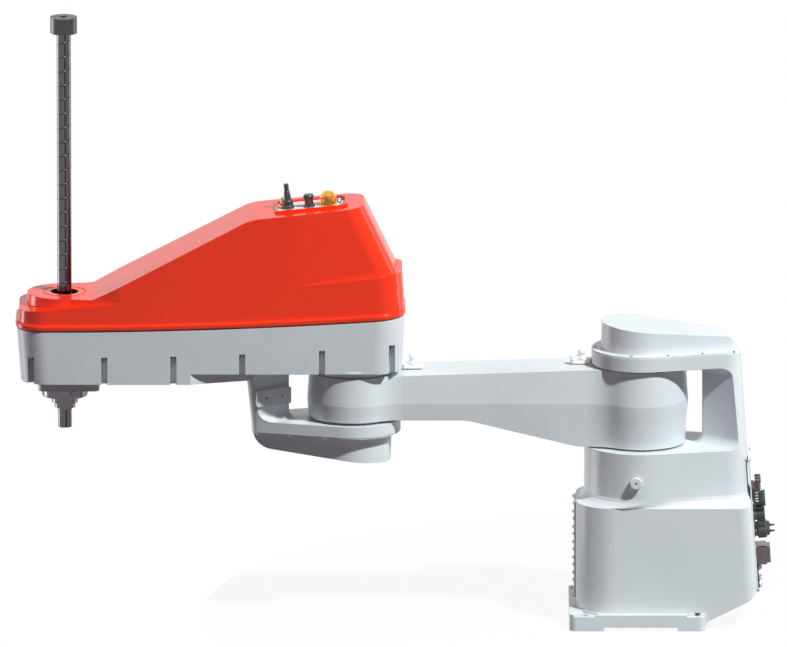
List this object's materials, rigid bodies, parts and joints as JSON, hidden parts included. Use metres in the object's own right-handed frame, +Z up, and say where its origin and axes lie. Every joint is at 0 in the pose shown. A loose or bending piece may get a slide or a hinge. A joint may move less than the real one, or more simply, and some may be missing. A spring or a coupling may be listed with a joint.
{
  "type": "scara robot",
  "caption": "Four-axis SCARA robot arm: C-shaped base, cast arm, covered outer arm and a hollow ball-screw spline spindle that lifts and turns.",
  "frame": {"origin": "axis 1 at the mounting surface, which is the centre of the four foot bolts", "axes": "+Z up along axis 1, +X forward along the stretched arm, +Y to the side of the round plug on the column"},
  "size_m": [1.5818, 0.27, 1.28],
  "materials": {
    "casting_paint": "smooth satin light blue-grey powder coat on aluminium castings",
    "cover_red": "glossy orange-red moulded cover",
    "plate_white": "white satin",
    "screw_steel": "zinc-plated steel",
    "screw_red": "screw heads coated like the cover",
    "connector_metal": "dark nickel-plated",
    "connector_black": "dark green-black moulded plastic",
    "gear_steel": "machined steel",
    "motor_black": "black satin paint",
    "bearing_steel": "polished bearing steel",
    "bracket_aluminium": "milled aluminium",
    "fitting_brass": "bright brass",
    "lamp_amber": "clear amber moulded lens",
    "seal_rubber": "black rubber",
    "spindle_steel": "ground and hardened steel, dark",
    "collar_black": "blackened steel"
  },
  "bodies": {
    "base": {"base_casting": "casting_paint", "front_access_cover": "casting_paint", "front_cover_screws": "screw_steel", "base_top_cover": "casting_paint", "top_cover_screws": "screw_steel", "side_plug": "casting_paint", "rear_panel": "casting_paint", "rear_panel_screws": "screw_steel", "base_air_fittings": "connector_metal", "base_signal_connectors": "connector_black", "base_power_connector": "connector_metal", "base_blanking_plugs": "plate_white", "a1_gear_unit": "gear_steel", "a1_motor": "motor_black", "a1_upper_bearing": "bearing_steel", "base_zero_pin": "plate_white"},
    "link_1": {"link_1_casting": "casting_paint", "a1_output_flange": "gear_steel", "a1_upper_journal": "gear_steel", "a2_output_flange": "gear_steel", "a2_lower_journal": "gear_steel"},
    "link_2": {"link_2_casting": "casting_paint", "lower_cover": "casting_paint", "lower_cover_screws": "screw_steel", "a2_gear_unit": "gear_steel", "a2_motor": "motor_black", "a2_lower_bearing": "bearing_steel", "arm_cover": "cover_red", "arm_cover_seal": "seal_rubber", "arm_cover_screws": "screw_steel", "connector_plate": "plate_white", "connector_plate_screws": "screw_red", "cable_gland": "connector_black", "brass_fitting": "fitting_brass", "capped_connector": "connector_metal", "lamp_dome": "lamp_amber", "lamp_block": "motor_black", "plate_cord_ring": "connector_black", "drive_bracket": "bracket_aluminium", "lift_nut_bearing": "bearing_steel", "lift_motor": "motor_black", "roll_motor": "motor_black", "lift_belt": "seal_rubber", "roll_belt": "seal_rubber", "spline_nut_bearing": "bearing_steel", "spindle_flange": "casting_paint", "guide_ring": "spindle_steel", "guide_ring_screw": "screw_steel", "arm_zero_pin": "plate_white", "tool_bracket": "casting_paint"},
    "roll_sleeve": {"spline_nut": "spindle_steel", "roll_nut_pulley": "bracket_aluminium"},
    "spindle": {"spindle_shaft": "spindle_steel", "upper_collar": "collar_black", "lower_collar": "spindle_steel"},
    "lift_nut": {"ball_nut": "spindle_steel", "lift_nut_pulley": "bracket_aluminium"},
    "lift_drive": {"lift_motor_pulley": "bracket_aluminium"},
    "roll_drive": {"roll_motor_pulley": "bracket_aluminium"}
  },
  "joints": [
    {"name": "a1_turn", "type": "hinge", "parent": "base", "child": "link_1", "pos_m": [0, 0, 0.4], "axis": [0, 0, 1], "range_deg": [-132, 132]},
    {"name": "a2_turn", "type": "hinge", "parent": "link_1", "child": "link_2", "pos_m": [0.6, 0, 0.5], "axis": [0, 0, 1], "range_deg": [-138, 138]},
    {"name": "a4_roll", "type": "hinge", "parent": "link_2", "child": "roll_sleeve", "pos_m": [1.2, 0, 0.5], "axis": [0, 0, 1], "range_deg": [-360, 360]},
    {"name": "a3_lift", "type": "slide", "parent": "roll_sleeve", "child": "spindle", "axis": [0, 0, 1], "range_m": [-0.5, 0]},
    {"name": "lift_nut_turn", "type": "hinge", "parent": "link_2", "child": "lift_nut", "pos_m": [1.2, 0, 0.6], "axis": [0, 0, 1], "range_deg": [-10, 6010]},
    {"name": "lift_drive_turn", "type": "hinge", "parent": "link_2", "child": "lift_drive", "pos_m": [1.02, 0, 0.6], "axis": [0, 0, 1], "range_deg": [-20, 12020]},
    {"name": "roll_drive_turn", "type": "hinge", "parent": "link_2", "child": "roll_drive", "pos_m": [0.9, 0, 0.6], "axis": [0, 0, 1], "range_deg": [-725, 725]}
  ],
  "couplings": [
    {"joint": "lift_nut_turn", "follows": "a3_lift", "rad_per_m": -209.44},
    {"joint": "lift_drive_turn", "follows": "a3_lift", "rad_per_m": -418.88},
    {"joint": "roll_drive_turn", "follows": "a4_roll", "ratio": 2}
  ]
}
